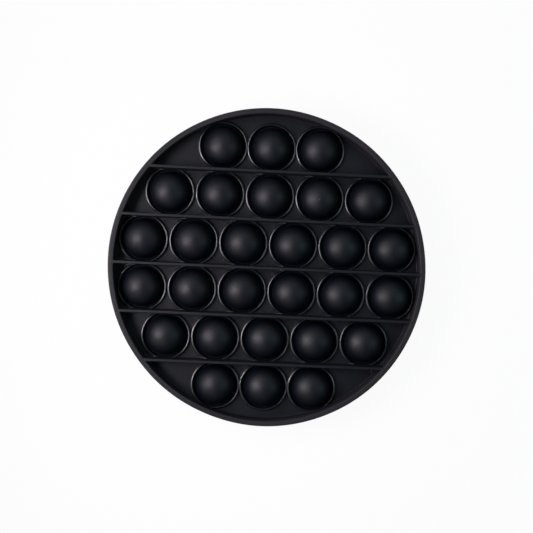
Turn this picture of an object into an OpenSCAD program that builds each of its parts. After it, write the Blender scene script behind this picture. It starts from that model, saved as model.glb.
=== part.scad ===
// Round bubble pop mat, moulded as one piece of black silicone rubber.
// Rows of thin hollow domes stand in a flat web, between straight ribs and a round rim.
// Each dome hangs on a thin hinge ring inside a raised lip, so it snaps through when pressed.
// The rim, ribs, web and lips are the same on both faces, and all domes are popped up.
// Z is up, X runs along the ribs, and the origin is the centre of the face it rests on.

/* [Rim] */
// Outer diameter of the mat
outer_d = 125; // [90:0.5:160]
// Height of the rim and ribs
rim_h = 13; // [9:0.1:20]
// Width of the rim at its top and bottom faces
rim_w = 2.15; // [1.6:0.05:4]
// Rounding of the rim's outer edges
rim_outer_round = 0.55; // [0.1:0.05:0.7]
// Rounding of the rim's inner edges
rim_inner_round = 0.35; // [0.1:0.05:0.7]
// Fillet where the rim meets the web
rim_foot_fillet = 0.5; // [0.1:0.05:0.8]

/* [Ribs and web] */
// Thickness of a rib at its top and bottom faces
rib_t = 1.15; // [0.8:0.05:2]
// Rounding of a rib's edges
rib_round = 0.25; // [0.05:0.05:0.35]
// Draft of the ribs' walls and the rim's inner wall, in degrees from upright
draft = 1.3; // [0.5:0.1:3]
// Thickness of the web
web_t = 1.6; // [1.2:0.1:2.4]

/* [Bubbles] */
// Outer diameter of a dome
dome_d = 15.5; // [12:0.1:19]
// Height of a dome's round centre above the middle of the web
dome_lift = 0.55; // [0.35:0.05:1]
// Wall of a dome
dome_wall = 0.9; // [0.6:0.05:1.3]
// Thickness of the hinge ring round a dome
hinge_t = 0.6; // [0.4:0.05:0.9]
// Width of the groove between a dome and its lip
groove_w = 0.95; // [0.8:0.05:1.4]
// Fillet between a dome's foot and the hinge ring
foot_fillet = 0.3; // [0.1:0.05:0.4]

/* [Lips] */
// Width of a lip at its foot
lip_w = 1.15; // [0.9:0.05:1.6]
// Height of a lip above the web
lip_h = 1.2; // [0.6:0.05:1.8]
// Radius of a lip's round crest
lip_crest_r = 0.3; // [0.2:0.01:0.4]

/* [Layout] */
// Gap between the lip crests of neighbours in a row
bubble_gap = 1.2; // [0.8:0.05:3]
// Gap between a rib's foot and the grooves beside it
rib_gap = 0.07; // [0.05:0.01:1]
// How far the lip crests of the end rows may run into the rim
rim_merge = 0.04; // [0.02:0.01:0.3]

/* [Hidden] */
rubber = [0.085, 0.085, 0.095];
// Steps in a quarter turn of a small rounding
round_steps = 3;
$fn = 96;

mid_z = rim_h / 2;
wall_h = rim_h / 2 - web_t / 2;
wall_lean = wall_h * tan(draft);

rim_r = outer_d / 2;
rim_in_r = rim_r - rim_w;
rim_foot_r = rim_in_r - wall_lean;
// Radius inside the rim at which the web and the ribs end
seat_r = rim_in_r + rim_w / 2;

dome_r = dome_d / 2;
lip_in_r = dome_r + groove_w;
crest_r = lip_in_r + lip_w / 2;
lip_top = web_t / 2 + lip_h;

bubble_step = 2 * crest_r + bubble_gap;
row_step = 2 * (lip_in_r + rib_gap + wall_lean) + rib_t;
least_step = 2 * crest_r + lip_crest_r;
// Farthest that a bubble's centre may be from the middle of the mat
reach_r = rim_in_r + rim_merge - crest_r;
half_rows = floor((reach_r - row_step / 2) / row_step) + 1;

// Half the width that a row's centres may span, at a distance y from the middle
function half_span(y) = sqrt(reach_r * reach_r - y * y);
// Bubbles that fit in that row
function row_count(y) = floor(2 * half_span(y) / least_step) + 1;
// Step from one bubble to the next in that row, drawn in where the rim is close
function step_in_row(y) =
    let (n = row_count(y)) n > 1 ? min(bubble_step, 2 * half_span(y) / (n - 1)) : 0;

// Centre of every bubble
centres = [
    for (side = [-1, 1])
        for (i = [0:half_rows - 1])
            let (y = side * (i + 0.5) * row_step)
                for (k = [0:row_count(y) - 1])
                    [(k - (row_count(y) - 1) / 2) * step_in_row(y), y]
];

// Points along an arc about a centre, from angle a to angle b
function arc(centre, r, a, b) = [
    for (i = [0:round_steps])
        let (t = a + (b - a) * i / round_steps)
            [centre[0] + r * cos(t), centre[1] + r * sin(t)]
];
// A run of points turned upside down and run backwards, for the other face
function other_face(points) = [
    for (i = [len(points) - 1:-1:0]) [points[i][0], -points[i][1]]
];
// A run of points turned left to right and run backwards, for the other side
function other_side(points) = [
    for (i = [len(points) - 1:-1:0]) [-points[i][0], points[i][1]]
];

// Upper half of the rim's section, from its outer edge over to its foot on the web
rim_upper = concat(
    arc([rim_r - rim_outer_round, mid_z - rim_outer_round], rim_outer_round, 0, 90),
    arc([rim_in_r + rim_inner_round, mid_z - rim_inner_round], rim_inner_round, 90, 180 - draft),
    arc([rim_foot_r - rim_foot_fillet, web_t / 2 + rim_foot_fillet], rim_foot_fillet, -draft, -90)
);

// Right half of a rib's upper section, from the web up to its top face
rib_upper = concat(
    [[rib_t / 2 + wall_lean, web_t / 2]],
    arc([rib_t / 2 - rib_round, mid_z - rib_round], rib_round, draft, 90)
);
rib_right = concat(other_face(rib_upper), rib_upper);

// Upper half of a lip's section, from the groove over the crest to the web
lip_upper = concat(
    [[lip_in_r, web_t / 2]],
    arc([crest_r, lip_top - lip_crest_r], lip_crest_r, 165, 15),
    [[lip_in_r + lip_w, web_t / 2]]
);

module rim() {
    rotate_extrude()
        polygon(concat(rim_upper, other_face(rim_upper)));
}

module rib(y) {
    intersection() {
        translate([0, y, 0])
            rotate([90, 0, 90])
                linear_extrude(2 * seat_r, center = true)
                    polygon(concat(rib_right, other_side(rib_right)));
        cylinder(h = 2 * rim_h, r = seat_r, center = true);
    }
}

// Flat web, with a hole under the middle of every lip
module web() {
    difference() {
        cylinder(h = web_t, r = seat_r, center = true);
        for (c = centres)
            translate(c)
                cylinder(h = 2 * web_t, r = crest_r, center = true);
    }
}

// Half section of one bubble: lip on both faces, hinge ring, foot fillet and dome
module bubble_section() {
    foot_r = sqrt(pow(dome_r, 2) - pow(dome_lift - hinge_t / 2, 2));
    polygon(concat(lip_upper, other_face(lip_upper)));
    difference() {
        union() {
            translate([0, -hinge_t / 2])
                square([crest_r, hinge_t]);
            translate([foot_r - foot_fillet, 0])
                square([2 * foot_fillet, hinge_t / 2 + foot_fillet]);
            intersection() {
                translate([0, dome_lift])
                    circle(r = dome_r);
                square([dome_d, dome_d]);
            }
        }
        translate([0, dome_lift])
            circle(r = dome_r - dome_wall);
        translate([foot_r + foot_fillet, hinge_t / 2 + foot_fillet])
            circle(r = foot_fillet);
        translate([-dome_d, -dome_d])
            square([dome_d, 3 * dome_d]);
    }
}

module bubble() {
    rotate_extrude()
        bubble_section();
}

// Rim, web and ribs, before the bubbles are set in
module tray() {
    rim();
    web();
    for (i = [1 - half_rows:half_rows - 1])
        rib(i * row_step);
}

module bubble_mat() {
    color(rubber)
        translate([0, 0, mid_z]) {
            tray();
            for (c = centres)
                translate(c)
                    bubble();
        }
}

bubble_mat();
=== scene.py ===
import math

import bpy
import bmesh
import numpy as np
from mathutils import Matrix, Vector


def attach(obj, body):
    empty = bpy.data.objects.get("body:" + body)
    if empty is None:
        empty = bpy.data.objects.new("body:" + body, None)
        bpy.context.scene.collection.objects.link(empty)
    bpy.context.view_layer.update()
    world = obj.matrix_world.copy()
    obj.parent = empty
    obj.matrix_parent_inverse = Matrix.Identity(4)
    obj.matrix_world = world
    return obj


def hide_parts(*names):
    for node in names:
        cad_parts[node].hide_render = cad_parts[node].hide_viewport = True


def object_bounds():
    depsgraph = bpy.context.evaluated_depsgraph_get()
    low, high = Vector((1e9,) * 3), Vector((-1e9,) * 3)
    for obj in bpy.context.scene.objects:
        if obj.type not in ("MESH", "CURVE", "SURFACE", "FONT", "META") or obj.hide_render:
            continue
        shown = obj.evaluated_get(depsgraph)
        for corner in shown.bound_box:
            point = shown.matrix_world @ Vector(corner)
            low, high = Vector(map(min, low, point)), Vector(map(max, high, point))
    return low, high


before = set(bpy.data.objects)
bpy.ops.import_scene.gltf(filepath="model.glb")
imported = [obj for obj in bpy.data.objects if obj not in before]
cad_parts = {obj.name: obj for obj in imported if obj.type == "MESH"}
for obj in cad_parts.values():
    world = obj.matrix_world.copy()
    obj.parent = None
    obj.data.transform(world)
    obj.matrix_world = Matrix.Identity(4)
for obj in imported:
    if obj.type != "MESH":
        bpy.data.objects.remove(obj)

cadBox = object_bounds()
mm = 0.001  # the mat's sizes are in millimetres; meshes, studio and camera are in metres

# the mat as it is moulded, measured from the middle of its web
mat = {
    "rimWidth": 2.15,  # flat and roundings together
    "rimHeight": 13.0,
    "outerRound": 0.55,
    "innerRound": 0.35,
    "ribWidth": 1.15,
    "ribRound": 0.25,
    "wallDraft": 1.3,  # degrees
    "footFillet": 0.32,
    "webThickness": 1.6,
    "rows": [3, 5, 6, 6, 5, 3],  # bubbles in each row, from the far side to the near one
    "partingBead": 0.05,  # how far the mould's parting line stands proud of the rim
    "partingSpread": (0.16, 0.05),  # half its height at its foot and on its top
}

# one bubble: dome, groove, hinge ring and lip
bubble = {
    "domeRadius": 7.75,
    "domeLift": 0.55,  # the dome's round centre above the middle of the web
    "domeWall": 0.9,
    "cupMouth": 0.22,  # rounding of the cup's mouth, underneath
    "hinge": 0.6,
    "groove": 0.95,
    "lipWidth": 1.15,
    "lipHeight": 1.2,
    "lipCrest": 0.3,
    "crestTurn": (162, 18),  # degrees at which the lip's flanks meet its round crest
    "lipFoot": 0.16,  # fillet outside the lip
    "stepInRow": 19.75,
    "endStep": 19.2,  # the end rows are drawn in by the rim
    "ribGap": 0.07,  # from a rib's foot to the groove beside it
}

# how finely the surface is divided
detail = {
    "spokes": 40,  # round a dome; the boundary's steps are a little finer, so that none is missed
    "domeRings": 8,
    "grooveSteps": 6,
    "crestSteps": 4,
    "roundSteps": 4,  # over the rim's outer edge
    "boundaryStep": 1.42,  # along ribs and rim
    "cornerStep": 0.45,  # close to a corner between rib and rim
    "cornerReach": 1.9,
    "edgeSteps": 12,  # along the line between two neighbours in a row
    "weld": 0.008,  # points nearer than this are one
}

halfWeb = mat["webThickness"] / 2
halfRim = mat["rimHeight"] / 2
wallHeight = halfRim - halfWeb
wallLean = wallHeight * math.tan(math.radians(mat["wallDraft"]))
outerRadius = (cadBox[1][0] - cadBox[0][0]) / 2 / mm
seatRadius = outerRadius - mat["rimWidth"] / 2
grooveRadius = bubble["domeRadius"] + bubble["groove"]
crestRadius = grooveRadius + bubble["lipWidth"] / 2
lipEnd = grooveRadius + bubble["lipWidth"] + bubble["lipFoot"]
lipTop = halfWeb + bubble["lipHeight"]
rowStep = 2 * (grooveRadius + bubble["ribGap"] + wallLean) + mat["ribWidth"]


def arcPoints(centre, radius, fromDeg, toDeg, steps):
    # equal angles: r = centre r + radius cos(a), z = centre z + radius sin(a)
    a = np.radians(np.linspace(fromDeg, toDeg, steps + 1))
    return np.stack([centre[0] + radius * np.cos(a), centre[1] + radius * np.sin(a)], 1)


def upperDomeProfile():
    # a circle from the top down to the groove, then a half circle through the groove's floor
    r, lift = bubble["domeRadius"], bubble["domeLift"]
    half = bubble["groove"] / 2
    floor = bubble["hinge"] / 2
    low = math.degrees(math.asin((floor + half - lift) / r))
    dome = arcPoints((0, lift), r, 90, low, detail["domeRings"])
    groove = arcPoints((r + half, floor + half), half, 180, 360, detail["grooveSteps"])
    return np.vstack([dome, groove[1:]])


def underDomeProfile():
    # the cup's ceiling, a rounded mouth, the flat of the hinge ring and the fillet up to the lip
    r, lift = bubble["domeRadius"] - bubble["domeWall"], bubble["domeLift"]
    floor, mouth = -bubble["hinge"] / 2, bubble["cupMouth"]
    half = bubble["groove"] / 2
    mouthZ = floor + mouth
    low = math.degrees(math.asin((mouthZ - lift) / r))
    cup = arcPoints((0, lift), r, 90, low, detail["domeRings"] - 1)
    turn = arcPoints((cup[-1, 0] + mouth, mouthZ), mouth, 180, 270, 2)[1:]
    fillet = arcPoints((grooveRadius - half, floor - half), half, 90, 0, 3)
    return np.vstack([cup, turn, fillet])


def lipProfile():
    # straight flanks with a round crest between them, and outside a small fillet of two steps:
    # a quarter of it in and three quarters of it up, then all of it out on the web
    r, fillet = bubble["lipCrest"], bubble["lipFoot"]
    crest = arcPoints((crestRadius, lipTop - r), r, *bubble["crestTurn"], detail["crestSteps"])
    start = [[grooveRadius, bubble["hinge"] / 2 + bubble["groove"] / 2]]
    outside = grooveRadius + bubble["lipWidth"]
    foot = [[outside - fillet / 4, halfWeb + fillet * 3 / 4], [lipEnd, halfWeb]]
    return np.vstack([start, crest, foot])


def wallProfile():
    # rings from the foot of a wall to the middle of its top: how far each lies from that middle
    # on a rib and on the rim, and the height above the web, which both share. A turn a round the
    # foot's fillet f is f - f sin a further out and f - f cos a up; a turn b round the top's
    # rounding r is r - r cos b further in and r - r sin b below the top.
    f = mat["footFillet"]
    a, b = np.radians([0, 45, 90]), np.radians([0, 35, 65, 90])
    walls = (mat["ribWidth"] / 2, mat["ribRound"]), (mat["rimWidth"] / 2, mat["innerRound"])
    offsets = []
    for half, rounding in walls:
        foot = half + wallLean + f * (1 - np.sin(a))
        edge = half - rounding + rounding * np.cos(b)
        offsets.append(np.concatenate([foot, edge, [0]]))
    high = wallHeight - mat["ribRound"] * (1 - np.sin(b))
    return offsets[0], offsets[1], np.concatenate([f * (1 - np.cos(a)), high, [wallHeight]])


ribOffset, rimOffset, ringHeight = wallProfile()


def filled(corners, step, tight):
    # splits each stretch between corners evenly, in as few parts as keep each within the step,
    # and more finely beside the corners marked tight
    values = [corners[0]]
    for a, b, tightA, tightB in zip(corners[:-1], corners[1:], tight[:-1], tight[1:]):
        stops = [a]
        reach = min(detail["cornerReach"], (b - a) / 3)
        n = max(1, round(reach / detail["cornerStep"]))
        if tightA:
            stops += list(np.linspace(a, a + reach, n + 1)[1:])
        near = list(np.linspace(b - reach, b, n + 1)) if tightB else [b]
        count = max(1, math.ceil((near[0] - stops[-1]) / step - 1e-9))
        stops += list(np.linspace(stops[-1], near[0], count + 1)[1:]) + near[1:]
        values += stops[1:]
    return np.array(values)


def layOut():
    # bubbles in rows, and the lines halfway between neighbours and along the ribs
    count = len(mat["rows"])
    rows = []
    for i, n in enumerate(mat["rows"]):
        y = ((count - 1) / 2 - i) * rowStep
        step = bubble["endStep"] if i in (0, count - 1) else bubble["stepInRow"]
        xs = (np.arange(n) - (n - 1) / 2) * step
        upper = None if i == 0 else y + rowStep / 2
        lower = None if i == count - 1 else y - rowStep / 2
        rows.append({"y": y, "xs": xs, "cuts": (xs[:-1] + xs[1:]) / 2, "upper": upper, "lower": lower})
    return rows


rows = layOut()


def boundaryPoints():
    # every point where neighbouring patches meet: along the ribs' middles, along the lines
    # between neighbours in a row, and round the middle of the rim's top
    ribPoints, linePoints, circleCorners = {}, [], []
    for above, below in zip(rows[:-1], rows[1:]):
        y = above["lower"]
        end = math.sqrt(seatRadius**2 - y**2)
        corners = np.unique(np.round(np.concatenate([[-end, end], above["cuts"], below["cuts"]]), 9))
        corners[[0, -1]] = -end, end
        tight = [k in (0, len(corners) - 1) for k in range(len(corners))]
        xs = filled(list(corners), detail["boundaryStep"], tight)
        ribPoints[y] = np.stack([xs, np.full_like(xs, y)], 1)
        circleCorners += [math.atan2(y, end), math.atan2(y, -end)]
    for row in rows:
        for x in row["cuts"]:
            sides = []
            for edge, sign in ((row["lower"], -1), (row["upper"], 1)):
                if edge is None:
                    ys = sign * np.sqrt((seatRadius - rimOffset) ** 2 - x**2)
                    circleCorners.append(math.atan2(ys[-1], x))
                else:
                    ys = edge - sign * ribOffset
                sides.append(np.sort(ys))
            inner = np.linspace(sides[0][-1], sides[1][0], detail["edgeSteps"] + 1)[1:-1]
            ys = np.concatenate([sides[0], inner, sides[1]])
            linePoints.append(np.stack([np.full_like(ys, x), ys], 1))
    angles = np.sort(np.mod(circleCorners, 2 * math.pi))
    ribEnds = [(side * p[-1, 0], p[-1, 1]) for p in ribPoints.values() for side in (1, -1)]
    ribAngles = np.mod([math.atan2(y, x) for x, y in ribEnds], 2 * math.pi)
    tight = [bool(np.any(np.abs(ribAngles - a) < 1e-9)) for a in angles]
    along = list(np.append(angles, angles[0] + 2 * math.pi) * seatRadius)
    arcs = filled(along, detail["boundaryStep"], tight + tight[:1])[:-1] / seatRadius
    circle = np.stack([np.cos(arcs), np.sin(arcs)], 1) * seatRadius
    return np.vstack(list(ribPoints.values()) + linePoints + [circle]), circle


boundary, circlePoints = boundaryPoints()


def gridFaces(rings, spokes):
    # four-sided faces of a closed grid whose vertex (ring, spoke) is number ring * spokes + spoke
    k, j = np.meshgrid(np.arange(rings - 1), np.arange(spokes), indexing="ij")
    nextJ = (j + 1) % spokes
    corner = [k * spokes + j, (k + 1) * spokes + j, (k + 1) * spokes + nextJ, k * spokes + nextJ]
    return np.stack([c.ravel() for c in corner], 1)


def spokesOf(row, k):
    # the unit direction from a bubble's centre to each point of its patch's boundary, in order
    centre = np.array([row["xs"][k], row["y"]])
    left = row["cuts"][k - 1] if k > 0 else -np.inf
    right = row["cuts"][k] if k < len(row["cuts"]) else np.inf
    lower = row["lower"] if row["lower"] is not None else -np.inf
    upper = row["upper"] if row["upper"] is not None else np.inf
    low, high = np.array([left, lower]) - 1e-6, np.array([right, upper]) + 1e-6
    held = boundary[np.all((boundary >= low) & (boundary <= high), axis=1)]
    edge = np.isclose(held[:, 0], left) | np.isclose(held[:, 0], right)
    edge |= np.isclose(held[:, 1], lower) | np.isclose(held[:, 1], upper)
    edge |= np.isclose(np.hypot(held[:, 0], held[:, 1]), seatRadius)
    held = held[edge] - centre
    angle = np.arctan2(held[:, 1], held[:, 0])
    order = np.argsort(angle)
    held, angle = held[order], angle[order]
    apart = np.append(True, np.diff(angle) > 1e-7)
    held = held[apart]
    return centre, held / np.hypot(held[:, 0], held[:, 1])[:, None], (left, right, lower, upper)


def lineDistance(offset, along):
    # how far along each spoke a straight line lies: its offset over the spoke's share in that
    # direction; a line behind the spoke is endlessly far
    with np.errstate(divide="ignore", invalid="ignore"):
        t = offset / along
    return np.where((t > 0) & np.isfinite(t), t, np.inf)


def reachOf(centre, spokes, limits, ribAway, rimAway):
    # distance along each spoke to the ribs and the rim, less what is kept away from their
    # middles. To a circle of radius R it is -b + sqrt(b^2 - c^2 + R^2), where c is the centre's
    # distance from the middle of the mat and b its share along the spoke.
    left, right, lower, upper = limits
    t = np.minimum(
        lineDistance(lower + ribAway - centre[1], spokes[:, 1]),
        lineDistance(upper - ribAway - centre[1], spokes[:, 1]),
    )
    t = np.where(np.abs(spokes[:, 1]) < 1e-12, np.inf, t)
    b = spokes @ centre
    circle = -b + np.sqrt(b**2 - centre @ centre + (seatRadius - rimAway) ** 2)
    return np.minimum(t, circle)


def patchOf(row, k):
    # one bubble's share of the upper face outside its groove. Rings run from the groove over
    # the lip, across the web and up the walls; each is held between the groove and the
    # patch's boundary. Height is the higher of the lip's profile and the wall's.
    centre, spokes, limits = spokesOf(row, k)
    left, right = limits[:2]
    edge = np.minimum(
        lineDistance(left - centre[0], spokes[:, 0]), lineDistance(right - centre[0], spokes[:, 0])
    )
    edge = np.minimum(edge, reachOf(centre, spokes, limits, 0.0, 0.0))
    wall = np.array([reachOf(centre, spokes, limits, a, b) for a, b in zip(ribOffset, rimOffset)])
    wall = np.clip(wall, grooveRadius, edge)
    lip = lipProfile()
    lipRings = np.clip(lip[:, 0][:, None], grooveRadius, wall[0])
    held = np.interp(lipRings, lip[:, 0], lip[:, 1])
    onLip = np.interp(wall, lip[:, 0], lip[:, 1])
    atEdge = np.cumsum(wall >= edge - 1e-7, axis=0) > 0
    first = np.argmax(atEdge, axis=0)
    level = np.minimum(np.arange(len(wall))[:, None], first[None, :])
    up = np.where(wall <= grooveRadius + 1e-9, lip[0, 1], np.maximum(onLip, halfWeb + ringHeight[level]))
    reach = np.vstack([lipRings, wall])
    z = np.vstack([held, up])
    xy = centre + reach[..., None] * spokes[None]
    return centre, spokes, np.concatenate([xy, z[..., None]], axis=2)


def polarPatch(centre, profile, sign):
    # a profile turned about the bubble's upright axis: x + r cos a, y + r sin a and its own height;
    # its first ring is all one point, the pole, and sign says which side faces out
    n = detail["spokes"]
    a = np.arange(n) * 2 * math.pi / n
    r, z = profile[:, 0], profile[:, 1]
    x = centre[0] + r[:, None] * np.cos(a)
    y = centre[1] + r[:, None] * np.sin(a)
    grid = np.stack([x, y, np.repeat(z[:, None], n, axis=1)], 2).reshape(-1, 3)
    faces = gridFaces(len(r), n)
    return grid, faces if sign > 0 else faces[:, ::-1]


def snapped(grid, centre, spokes):
    # the first ring's vertices moved to the nearest vertex of the dome's last ring: the same
    # radius, at the nearest whole number of the dome's steps
    n = detail["spokes"]
    a = np.round(np.arctan2(spokes[:, 1], spokes[:, 0]) / (2 * math.pi / n)) * (2 * math.pi / n)
    r = np.hypot(grid[0, :, 0] - centre[0], grid[0, :, 1] - centre[1])
    grid[0, :, 0] = centre[0] + r * np.cos(a)
    grid[0, :, 1] = centre[1] + r * np.sin(a)
    return grid


def rimShell():
    # the rim's outside as one profile carried round: r and height from the upper seat to the lower
    angle = np.sort(np.mod(np.arctan2(circlePoints[:, 1], circlePoints[:, 0]), 2 * math.pi))
    edge, bead = mat["outerRound"], mat["partingBead"]
    foot, crown = mat["partingSpread"]
    upper = np.vstack([
        [[seatRadius, halfRim]],
        arcPoints((outerRadius - bead - edge, halfRim - edge), edge, 90, 0, detail["roundSteps"]),
        [[outerRadius - bead, foot], [outerRadius, crown]],
    ])
    lower = upper[::-1] * [1, -1]
    profile = np.vstack([upper, lower])
    n = len(angle)
    x = profile[:, 0][:, None] * np.cos(angle)
    y = profile[:, 0][:, None] * np.sin(angle)
    z = np.repeat(profile[:, 1][:, None], n, axis=1)
    return np.stack([x, y, z], 2).reshape(-1, 3), gridFaces(len(profile), n)


def matSurface():
    # every bubble's patch on both faces, its dome above and its cup below, and the rim's outside
    vertices, faces, total = [], [], 0

    def add(points, quads):
        nonlocal total
        vertices.append(points)
        faces.append(quads + total)
        total += len(points)

    upperDome, underDome = upperDomeProfile(), underDomeProfile()
    for row in rows:
        for k in range(len(row["xs"])):
            centre, spokes, grid = patchOf(row, k)
            grid = snapped(grid, centre, spokes)
            quads = gridFaces(grid.shape[0], grid.shape[1])
            add(grid.reshape(-1, 3), quads)
            add(grid.reshape(-1, 3) * [1, 1, -1], quads[:, ::-1])
            add(*polarPatch(centre, upperDome, 1))
            add(*polarPatch(centre, underDome, -1))
    add(*rimShell())
    return np.vstack(vertices), np.vstack(faces)


def newMesh(name, points, quads):
    # a mesh from whole arrays; vertices that meet are joined, which also closes seams and poles
    mesh = bpy.data.meshes.new(name)
    mesh.vertices.add(len(points))
    mesh.vertices.foreach_set("co", points.ravel())
    mesh.loops.add(quads.size)
    mesh.loops.foreach_set("vertex_index", quads.ravel().astype(np.int32))
    mesh.polygons.add(len(quads))
    mesh.polygons.foreach_set("loop_start", np.arange(len(quads), dtype=np.int32) * 4)
    mesh.update(calc_edges=True)
    work = bmesh.new()
    work.from_mesh(mesh)
    bmesh.ops.remove_doubles(work, verts=work.verts, dist=detail["weld"] * mm)
    bmesh.ops.dissolve_degenerate(work, edges=work.edges, dist=detail["weld"] * mm / 4)
    work.to_mesh(mesh)
    work.free()
    mesh.validate()
    mesh.shade_smooth()
    return mesh


points, quads = matSurface()
points[:, 2] += halfRim
mesh = newMesh("bubbleMatMesh", points * mm, quads)
matPiece = bpy.data.objects.new("bubbleMat", mesh)
bpy.context.collection.objects.link(matPiece)
print("mat surface:", len(mesh.vertices), "vertices,", len(mesh.polygons), "faces")


class Field:
    # a shader socket that plain arithmetic works on; each step adds one Math node
    def __init__(self, tree, socket=None):
        self.tree, self.socket = tree, socket

    def node(self, kind, settings=None, values=None, out=0):
        # any other node: its settings are made first, then its sockets are set or linked
        made = self.tree.nodes.new(kind)
        for name, value in (settings or {}).items():
            setattr(made, name, value)
        for name, value in (values or {}).items():
            if isinstance(value, Field):
                self.tree.links.new(value.socket, made.inputs[name])
            else:
                made.inputs[name].default_value = value
        return Field(self.tree, made.outputs[out] if made.outputs else None)

    def sister(self, out):
        # another output of the same node
        return Field(self.tree, self.socket.node.outputs[out])

    def maths(self, operation, a, b):
        return self.node("ShaderNodeMath", {"operation": operation}, {0: a, 1: b})

    def __add__(self, other): return self.maths("ADD", self, other)
    def __radd__(self, other): return self.maths("ADD", other, self)
    def __sub__(self, other): return self.maths("SUBTRACT", self, other)
    def __rsub__(self, other): return self.maths("SUBTRACT", other, self)
    def __mul__(self, other): return self.maths("MULTIPLY", self, other)
    def __rmul__(self, other): return self.maths("MULTIPLY", other, self)

    def ramp(self, low, high, toLow=0.0, toHigh=1.0):
        # from toLow below low to toHigh above high, eased in between
        values = {"Value": self, "From Min": low, "From Max": high, "To Min": toLow, "To Max": toHigh}
        return self.node("ShaderNodeMapRange", {"interpolation_type": "SMOOTHSTEP"}, values)

    def mixed(self, first, second):
        # colours mixed by this field
        values = {0: self, 6: first, 7: second}
        return self.node("ShaderNodeMix", {"data_type": "RGBA"}, values, 2)

    def noise(self, scale, octaves=2.0):
        # soft noise from 0 to 1, with this many patches to the metre
        return self.node("ShaderNodeTexNoise", {}, {"Vector": self, "Scale": scale, "Detail": octaves})

    def attribute(self, name):
        # what is marked at the mesh's vertices
        return self.node("ShaderNodeAttribute", {"attribute_name": name}, {}, "Fac")


def emptyTree(owner):
    # the bare node tree of a material or a world, as a field without a socket
    owner.use_nodes = True
    owner.node_tree.nodes.clear()
    return Field(owner.node_tree)


def newMaterial(name):
    # an empty material, and the place on its object as a field
    material = bpy.data.materials.new(name)
    return material, emptyTree(material).node("ShaderNodeTexCoord", {}, {}, "Object")


silicone = {
    "black": (0.0010, 0.0019, 0.0046, 1),
    "paintedTopLight": (0.0215, 0.0202, 0.0225, 1),  # painted light: the rim's top is painted lighter, standing in for the light its flat top catches
    "topLightPatches": 38.0,  # to the metre
    "topLightRange": (0.75, 1.15),  # least and most lightened patch of the painted light
    "ior": 1.43,
    "matteIor": 1.385,  # the web and the rim's top
    "shadeAndDullIor": 1.22,  # painted shade: the grooves and the domes' lower flanks throw back least light; the rim's top takes a share of it as a dull finish
    "polishIor": 2.35,  # lip crests, polished by fingers
    "polishRoughness": 0.38,
    "unevenness": 0.05,  # in roughness
    "unevenPatches": 210.0,  # to the metre
    "grain": 2600.0,  # how many grains to the metre
    "grainDepth": 0.00001,  # metres
    "grainStrength": 0.35,
    "lint": 330.0,  # cells to the metre that may each hold a crumb of lint
    "lintShare": (0.985, 0.99),  # cells above this have one
    "lintSize": (0.05, 0.1),  # of a cell: solid inside the first, gone outside the second
    "lintColour": (0.22, 0.215, 0.2, 1),
}

# specks lying on the mat: place from its middle, height and radius, all in millimetres
dust = {
    "specks": [
        (18.9, 27.7, 14.3, 0.30),
        (10.7, -11.3, 13.6, 0.30),
        (-20.1, 39.1, 13.0, 0.32),
        (5.0, -0.5, 13.0, 0.28),
        (59.9, 4.9, 13.0, 0.38),
        (43.6, -40.1, 7.3, 0.42),
        (16.5, 56.5, 12.0, 0.42),
    ],
    "flatness": 0.25,  # less than 1 lets a speck reach further up and down than sideways
    "colour": (0.08, 0.08, 0.072, 1),
}


def dusted(place, colour):
    # the colour with a soft-edged speck wherever a place is nearer to one than its radius
    flat = np.array([1.0, 1.0, dust["flatness"]])
    pressed = place.node("ShaderNodeVectorMath", {"operation": "MULTIPLY"}, {0: place, 1: flat})
    for *spot, radius in dust["specks"]:
        values = {0: pressed, 1: flat * spot * mm}
        away = place.node("ShaderNodeVectorMath", {"operation": "DISTANCE"}, values, "Value")
        speck = 1.0 - away.ramp(radius * mm / 2, radius * mm)
        colour = speck.mixed(colour, dust["colour"])
    return colour


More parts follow.
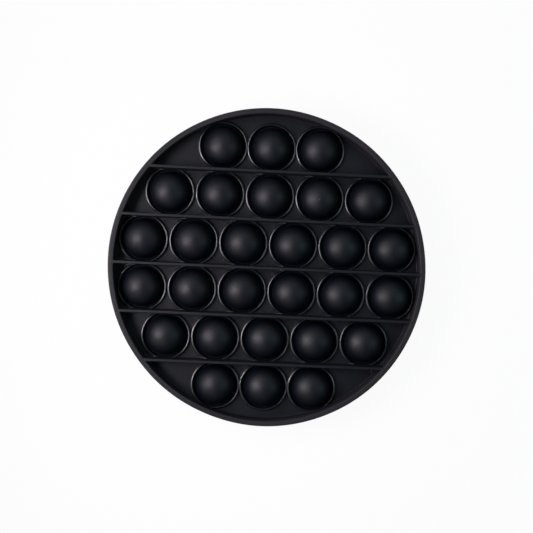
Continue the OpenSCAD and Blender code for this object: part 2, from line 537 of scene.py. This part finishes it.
def siliconeMaterial():
    # three finishes of one black rubber, plain, matte and dull, mixed by the shares that are marked on
    # the mesh; the plain one has a coat where fingers polish the lips.
    # The dull one is painted shade in the grooves and a dull finish on the rim's top; the colour holds
    # painted light on the tops
    material, place = newMaterial("blackSilicone")
    # painted light: the tops are painted lighter, in patches, by the share marked on the mesh
    topLightShare = place.attribute("topLightShare")
    topLightShare = topLightShare * place.noise(silicone["topLightPatches"], 3.0).ramp(0.3, 0.7, *silicone["topLightRange"])
    colour = topLightShare.mixed(silicone["black"], silicone["paintedTopLight"])
    cell = {"Vector": place, "Scale": silicone["lint"]}
    pick = place.node("ShaderNodeTexVoronoi", {"feature": "F1"}, cell, "Color")
    chance = place.node("ShaderNodeSeparateColor", {}, {"Color": pick}, "Red")
    near = 1.0 - pick.sister("Distance").ramp(*silicone["lintSize"])
    lint = near * chance.ramp(*silicone["lintShare"])
    colour = dusted(place, lint.mixed(colour, silicone["lintColour"]))

    patches = place.noise(silicone["unevenPatches"]).ramp(0.3, 0.7) - 0.5
    roughness = place.attribute("roughness") + patches * silicone["unevenness"]
    grain = {
        "Strength": silicone["grainStrength"],
        "Distance": silicone["grainDepth"],
        "Height": place.noise(silicone["grain"]),
    }
    bump = place.node("ShaderNodeBump", {}, grain)

    every = {"Base Color": colour, "Roughness": roughness, "Normal": bump}
    coat = {
        "Coat Weight": place.attribute("polish"),
        "Coat Roughness": silicone["polishRoughness"],
        "Coat IOR": silicone["polishIor"],
    }
    plain = place.node("ShaderNodeBsdfPrincipled", {}, every | coat | {"IOR": silicone["ior"]})
    matte = place.node("ShaderNodeBsdfPrincipled", {}, every | {"IOR": silicone["matteIor"]})
    shadeAndDull = place.node("ShaderNodeBsdfPrincipled", {}, every | {"IOR": silicone["shadeAndDullIor"]})
    flats = {0: place.attribute("matteShare"), 1: plain, 2: matte}
    flats = place.node("ShaderNodeMixShader", {}, flats)
    grooves = {0: place.attribute("shadeAndDullShare"), 1: flats, 2: shadeAndDull}
    grooves = place.node("ShaderNodeMixShader", {}, grooves)
    place.node("ShaderNodeOutputMaterial", {}, {"Surface": grooves})
    return material


def eased(low, high, value):
    # 0 below low, 1 above high, and 3t^2 - 2t^3 in between
    t = np.clip((value - low) / (high - low), 0, 1)
    return t * t * (3 - 2 * t)


def vertexPlaces():
    # where the mat's vertices are, in millimetres, one to a row
    places = np.empty(len(mesh.vertices) * 3)
    mesh.vertices.foreach_get("co", places)
    return places.reshape(-1, 3) / mm


def nearestBubble(places):
    # the step to each place from the nearest bubble's centre, its length, and which bubble it is
    centres = np.array([[x, row["y"]] for row in rows for x in row["xs"]])
    steps = places[:, None, :2] - centres[None]
    lengths = np.linalg.norm(steps, axis=2)
    nearest = lengths.argmin(axis=1)
    step = np.take_along_axis(steps, nearest[:, None, None], axis=1)[:, 0]
    return step, lengths.min(axis=1), nearest


# how each zone of the mat is finished; a pair says between which two distances it comes or goes
finish = {
    "roughness": {"domes": 0.56, "web": 0.57, "crests": 0.30, "tops": 0.54},
    "rimDull": 0.6,  # share of the dull finish on the rim's top
    "ribTopLight": 0.06,  # painted light on the ribs' tops, where the rim's top has 1
    # painted shade: the groove zone gets the dull finish, which throws back less light in the grooves
    # and on the domes' lower flanks
    "grooveAcross": (-3.9, -1.4),  # out from the dome's edge
    "grooveUp": (3.4, 7.0),  # up from the middle of the web
    "grooveEdge": (-0.05, 0.05),  # out from the groove
    "flatsFrom": (-0.3, 0.0),  # out from the groove
    "webUp": (0.05, 0.5),  # up from the web
    "crestBelow": (-0.45, -0.2),  # up from a lip's top
    "crestAbove": (0.02, 0.1),  # up from a lip's top
    "crestAcross": (0.35, 0.5),  # to either side of a lip's crest
    "crestBeside": (3.5, 8.0),  # from a row's middle: fingers hardly reach the lips beside the ribs
    "topsUp": (-0.8, -0.5),  # up from the rim's top
    "rimAcross": (-3.0, -2.2),  # out from the rim's outside
}


def markZones():
    # the finish of each vertex, by its height above or below the middle of the web and by its
    # distance from the nearest bubble's centre: a share of each zone, eased at its edges
    def comes(edges, value):
        return eased(*finish[edges], value)

    def goes(edges, value):
        return 1 - comes(edges, value)

    places = vertexPlaces()
    step, apart, nearest = nearestBubble(places)
    height = np.abs(places[:, 2] - halfRim)
    crest = comes("crestBelow", height - lipTop) * goes("crestAbove", height - lipTop)
    crest *= goes("crestAcross", np.abs(apart - crestRadius)) * goes("crestBeside", np.abs(step[:, 1]))
    flats = comes("flatsFrom", apart - grooveRadius)
    web = flats * goes("webUp", height - halfWeb)
    tops = flats * comes("topsUp", height - halfRim)
    # painted shade in the grooves and on the domes' lower flanks
    groove = comes("grooveAcross", apart - bubble["domeRadius"]) * goes("grooveUp", height)
    groove *= goes("grooveEdge", apart - grooveRadius)
    onRim = comes("rimAcross", np.linalg.norm(places[:, :2], axis=1) - outerRadius)

    rough = finish["roughness"]
    roughness = rough["domes"] + crest * (rough["crests"] - rough["domes"])
    roughness += web * (rough["web"] - rough["domes"]) + tops * (rough["tops"] - rough["domes"])
    shares = {
        "roughness": roughness,
        "matteShare": np.maximum(web, tops * onRim),
        "shadeAndDullShare": np.maximum(groove, tops * onRim * finish["rimDull"]),
        "polish": crest,
        # painted light on the rim's top, and faintly on the ribs' tops
        "topLightShare": tops * (onRim + (1 - onRim) * finish["ribTopLight"]),
    }
    for name, share in shares.items():
        mesh.attributes.new(name, "FLOAT", "POINT").data.foreach_set("value", share.astype(np.float32))


markZones()
print("finish: grooves, web, lips and tops marked")

# how soft rubber departs from its mould
give = {
    "outOfRound": 0.0045,  # stretch along one diagonal
    "sway": 0.05,  # of ribs and rim to either side
    "swayLength": 43.0,
    "swayAcross": 0.6,  # waves across for each wave along
    "domeLean": 0.7,  # degrees, at most
    "domeSink": 0.08,
    "leanFrom": (-1.5, 0.2),  # out from the dome's edge: full inside the first, none beyond
    "seed": 11,
}


def settle():
    # x loses outOfRound y and y loses outOfRound x; two crossed sines sway both; and each dome
    # leans about its own centre, z + a dx + b dy - c, fully at its top and not at all in its groove
    chance = np.random.default_rng(give["seed"])
    places = vertexPlaces()
    step, apart, nearest = nearestBubble(places)
    count = sum(mat["rows"])
    steep = math.tan(math.radians(give["domeLean"]))
    lean = chance.uniform(-steep, steep, (count, 2))
    sink = chance.uniform(0.0, give["domeSink"], count)
    phase = chance.uniform(0, 2 * math.pi, 4)
    rise = (step * lean[nearest]).sum(axis=1) - sink[nearest]
    places[:, 2] += rise * (1 - eased(*give["leanFrom"], apart - bubble["domeRadius"]))
    x, y = places[:, 0].copy(), places[:, 1].copy()
    turn = 2 * math.pi / give["swayLength"]
    slow = give["swayAcross"] * turn
    swayX = np.sin(turn * y + phase[0]) * np.sin(slow * x + phase[1])
    swayY = np.sin(turn * x + phase[2]) * np.sin(slow * y + phase[3])
    places[:, 0] += give["sway"] * swayX - give["outOfRound"] * y
    places[:, 1] += give["sway"] * swayY - give["outOfRound"] * x
    mesh.vertices.foreach_set("co", (places * mm).ravel())
    mesh.update()


settle()
print("give: rubber settled")

mesh.materials.append(siliconeMaterial())
even = matPiece.modifiers.new("evenNormals", "WEIGHTED_NORMAL")  # flats stay flat beside roundings
even.weight = 60
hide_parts("bubble_mat")
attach(matPiece, "root")
print("material: black silicone")

floorLook = {
    "size": 4.0,
    "colour": (0.9, 0.9, 0.9, 1),
    "shown": 0.94,  # how much of it the camera sees as plain white, near the mat
    "plain": (0.1, 0.5),  # metres from the middle, where plain white alone comes in
}


def studioFloor():
    # a matte sheet that keeps the mat's shadow, mixed with plain white where the camera sees it
    half = floorLook["size"] / 2
    sheet = bpy.data.meshes.new("studioFloorMesh")
    corners = [(-half, -half, 0), (half, -half, 0), (half, half, 0), (-half, half, 0)]
    sheet.from_pydata(corners, [], [(0, 1, 2, 3)])
    floor = bpy.data.objects.new("studioFloor", sheet)
    bpy.context.collection.objects.link(floor)
    material, place = newMaterial("studioWhite")
    matte = place.node("ShaderNodeBsdfDiffuse", {}, {"Color": floorLook["colour"]})
    white = place.node("ShaderNodeEmission", {}, {"Color": (1, 1, 1, 1), "Strength": 1.0})
    seen = place.node("ShaderNodeLightPath", {}, {}, "Is Camera Ray")
    apart = place.node("ShaderNodeVectorMath", {"operation": "LENGTH"}, {0: place}, "Value")
    shown = apart.ramp(*floorLook["plain"], floorLook["shown"], 1.0)
    both = place.node("ShaderNodeMixShader", {}, {0: seen * shown, 1: matte, 2: white})
    place.node("ShaderNodeOutputMaterial", {}, {"Surface": both})
    sheet.materials.append(material)


worldLook = {"colour": (0.8, 0.86, 1.0, 1), "strength": 0.003}


def studioWorld():
    # a dim room light, and plain white where the camera sees past the floor
    world = bpy.data.worlds.new("studioWorld")
    seen = emptyTree(world).node("ShaderNodeLightPath", {}, {}, "Is Camera Ray")
    room = {"Color": worldLook["colour"], "Strength": worldLook["strength"]}
    dim = seen.node("ShaderNodeBackground", {}, room)
    white = seen.node("ShaderNodeBackground", {}, {"Color": (1, 1, 1, 1), "Strength": 1.0})
    both = seen.node("ShaderNodeMixShader", {}, {0: seen, 1: dim, 2: white})
    seen.node("ShaderNodeOutputWorld", {}, {"Surface": both})
    bpy.context.scene.world = world


# soft round panels: place and size in metres, what each one faces, and its power in watts
lights = {
    "keyLight": {
        "place": (-0.185, -0.004, 0.185), "aim": (0.8, 0, 0.42),
        "size": 0.15, "power": 1.34, "colour": (0.99, 0.91, 0.98),
    },
    "highLight": {
        "place": (-0.27, 0.27, 0.38), "aim": (0, 0, 0),
        "size": 0.30, "power": 0.62, "colour": (0.90, 0.91, 1.0),
    },
    "fillLight": {
        "place": (0.40, 0.0, 0.29), "aim": (0, 0, 0),
        "size": 0.35, "power": 0.44, "colour": (0.66, 0.92, 1.0),
    },
    "backLight": {
        "place": (0.10, 0.33, 0.37), "aim": (0, 0, 0),
        "size": 0.45, "power": 0.36, "colour": (0.84, 0.92, 1.0),
    },
    "frontLight": {
        "place": (-0.13, -0.32, 0.37), "aim": (0, 0, 0),
        "size": 0.40, "power": 0.24, "colour": (0.92, 0.92, 1.0),
    },
}


def softLight(name, look):
    # a disk whose face looks along the line from its place to its aim
    lamp = bpy.data.lights.new(name, "AREA")
    lamp.shape, lamp.size = "DISK", look["size"]
    lamp.energy, lamp.color = look["power"], look["colour"]
    light = bpy.data.objects.new(name, lamp)
    light.location = look["place"]
    facing = Vector(look["aim"]) - light.location
    light.rotation_euler = facing.to_track_quat("-Z", "Y").to_euler()
    bpy.context.collection.objects.link(light)


studioFloor()
studioWorld()
for name, look in lights.items():
    softLight(name, look)
print("studio: floor, world and", len(lights), "lights")

# the place is in metres, the turn in degrees and the lens in millimetres
cameraLook = {"place": (-0.0124, 0.0108, 0.3212), "turn": (-1.965, -2.123, 2.341), "lens": 53.216}


def photoCamera():
    # the camera that took the photograph: place and turn, turned about x, then y, then z
    data = bpy.data.cameras.new("photoCamera")
    data.lens = cameraLook["lens"]
    data.clip_start = 0.01
    camera = bpy.data.objects.new("photoCamera", data)
    camera.location = cameraLook["place"]
    camera.rotation_euler = [math.radians(a) for a in cameraLook["turn"]]
    bpy.context.collection.objects.link(camera)
    return camera


scene = bpy.context.scene
scene.camera = photoCamera()
scene.view_settings.view_transform = "Standard"
print("camera: done")

bpy.context.view_layer.update()
